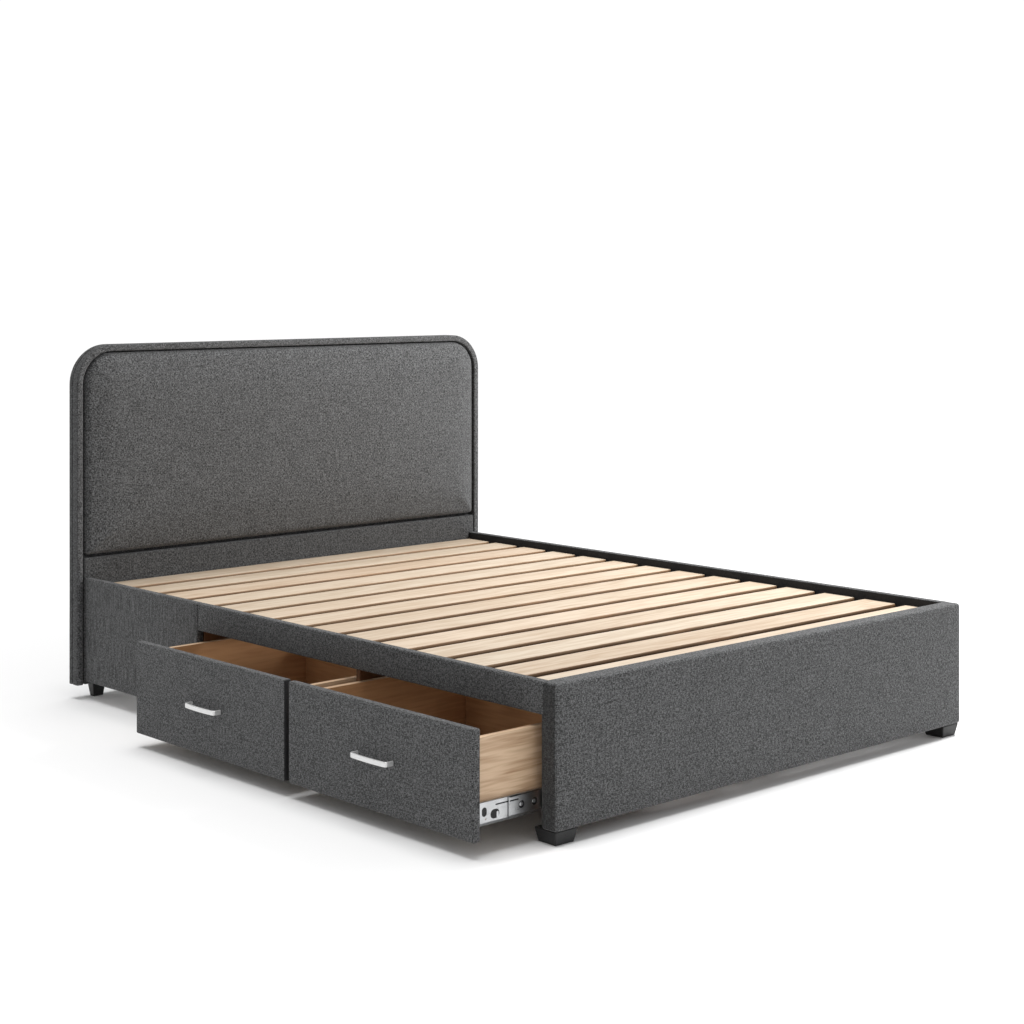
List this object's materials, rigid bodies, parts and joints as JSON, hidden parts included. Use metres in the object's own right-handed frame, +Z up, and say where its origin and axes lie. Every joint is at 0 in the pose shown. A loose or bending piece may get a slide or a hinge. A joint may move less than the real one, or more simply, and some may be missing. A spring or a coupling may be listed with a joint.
{
  "type": "platform bed",
  "caption": "Upholstered platform bed with an arched headboard, a slatted base and storage drawers under one long side.",
  "frame": {"origin": "The middle of the centre leg's sole, on the floor.", "axes": "X across the bed's width with the drawers at -X, Y along its length with the headboard at +Y, Z up."},
  "size_m": [1.8343, 2.1212, 1.08],
  "materials": {
    "charcoal_weave": "matt woven cloth",
    "pale_timber": "planed, matt",
    "drawer_timber": "sealed board",
    "bay_board": "dark faced board",
    "zinc": "zinc plated",
    "satin_metal": "satin",
    "black_plastic": "moulded"
  },
  "bodies": {
    "bed_frame": {"headboard_border": "charcoal_weave", "headboard_back_board": "charcoal_weave", "headboard_lower_panel": "charcoal_weave", "headboard_pad": "charcoal_weave", "footboard": "charcoal_weave", "near_side_panel": "charcoal_weave", "near_top_rail": "charcoal_weave", "far_side_panel": "charcoal_weave", "head_cross_rail": "pale_timber", "slat_ledge_near": "pale_timber", "slat_ledge_far": "pale_timber", "centre_rail": "pale_timber", "centre_leg": "pale_timber", "slat_01": "pale_timber", "slat_02": "pale_timber", "slat_03": "pale_timber", "slat_04": "pale_timber", "slat_05": "pale_timber", "slat_06": "pale_timber", "slat_07": "pale_timber", "slat_08": "pale_timber", "slat_09": "pale_timber", "slat_10": "pale_timber", "slat_11": "pale_timber", "slat_12": "pale_timber", "slat_13": "pale_timber", "slat_14": "pale_timber", "foot_end_near_foot": "black_plastic", "foot_end_far_foot": "black_plastic", "head_end_near_foot": "black_plastic", "head_end_far_foot": "black_plastic", "bay_board_foot_end": "bay_board", "bay_divider": "bay_board", "bay_board_head_end": "bay_board", "bay_back_board": "bay_board", "foot_drawer_runner_foot_end_outer": "zinc", "foot_drawer_runner_head_end_outer": "zinc", "head_drawer_runner_foot_end_outer": "zinc", "head_drawer_runner_head_end_outer": "zinc"},
    "foot_drawer": {"foot_drawer_front": "charcoal_weave", "foot_drawer_side_foot_end": "drawer_timber", "foot_drawer_side_head_end": "drawer_timber", "foot_drawer_back": "drawer_timber", "foot_drawer_floor": "drawer_timber", "foot_drawer_handle": "satin_metal", "foot_drawer_runner_foot_end_inner": "zinc", "foot_drawer_runner_head_end_inner": "zinc"},
    "foot_drawer_runner_foot_end_middle": {"foot_drawer_runner_foot_end_middle": "zinc"},
    "foot_drawer_runner_head_end_middle": {"foot_drawer_runner_head_end_middle": "zinc"},
    "head_drawer": {"head_drawer_front": "charcoal_weave", "head_drawer_side_foot_end": "drawer_timber", "head_drawer_side_head_end": "drawer_timber", "head_drawer_back": "drawer_timber", "head_drawer_floor": "drawer_timber", "head_drawer_handle": "satin_metal", "head_drawer_runner_foot_end_inner": "zinc", "head_drawer_runner_head_end_inner": "zinc"},
    "head_drawer_runner_foot_end_middle": {"head_drawer_runner_foot_end_middle": "zinc"},
    "head_drawer_runner_head_end_middle": {"head_drawer_runner_head_end_middle": "zinc"}
  },
  "joints": [
    {"name": "foot_drawer_slide", "type": "slide", "parent": "bed_frame", "child": "foot_drawer", "axis": [-1, 0, 0], "range_m": [-0.2, 0.25]},
    {"name": "foot_drawer_runner_foot_end_middle_slide", "type": "slide", "parent": "bed_frame", "child": "foot_drawer_runner_foot_end_middle", "axis": [-1, 0, 0], "range_m": [-0.1, 0.125]},
    {"name": "foot_drawer_runner_head_end_middle_slide", "type": "slide", "parent": "bed_frame", "child": "foot_drawer_runner_head_end_middle", "axis": [-1, 0, 0], "range_m": [-0.1, 0.125]},
    {"name": "head_drawer_slide", "type": "slide", "parent": "bed_frame", "child": "head_drawer", "axis": [-1, 0, 0], "range_m": [-0.2, 0.25]},
    {"name": "head_drawer_runner_foot_end_middle_slide", "type": "slide", "parent": "bed_frame", "child": "head_drawer_runner_foot_end_middle", "axis": [-1, 0, 0], "range_m": [-0.1, 0.125]},
    {"name": "head_drawer_runner_head_end_middle_slide", "type": "slide", "parent": "bed_frame", "child": "head_drawer_runner_head_end_middle", "axis": [-1, 0, 0], "range_m": [-0.1, 0.125]}
  ],
  "couplings": [
    {"joint": "foot_drawer_runner_foot_end_middle_slide", "follows": "foot_drawer_slide", "ratio": 0.5},
    {"joint": "foot_drawer_runner_head_end_middle_slide", "follows": "foot_drawer_slide", "ratio": 0.5},
    {"joint": "head_drawer_runner_foot_end_middle_slide", "follows": "head_drawer_slide", "ratio": 0.5},
    {"joint": "head_drawer_runner_head_end_middle_slide", "follows": "head_drawer_slide", "ratio": 0.5}
  ]
}
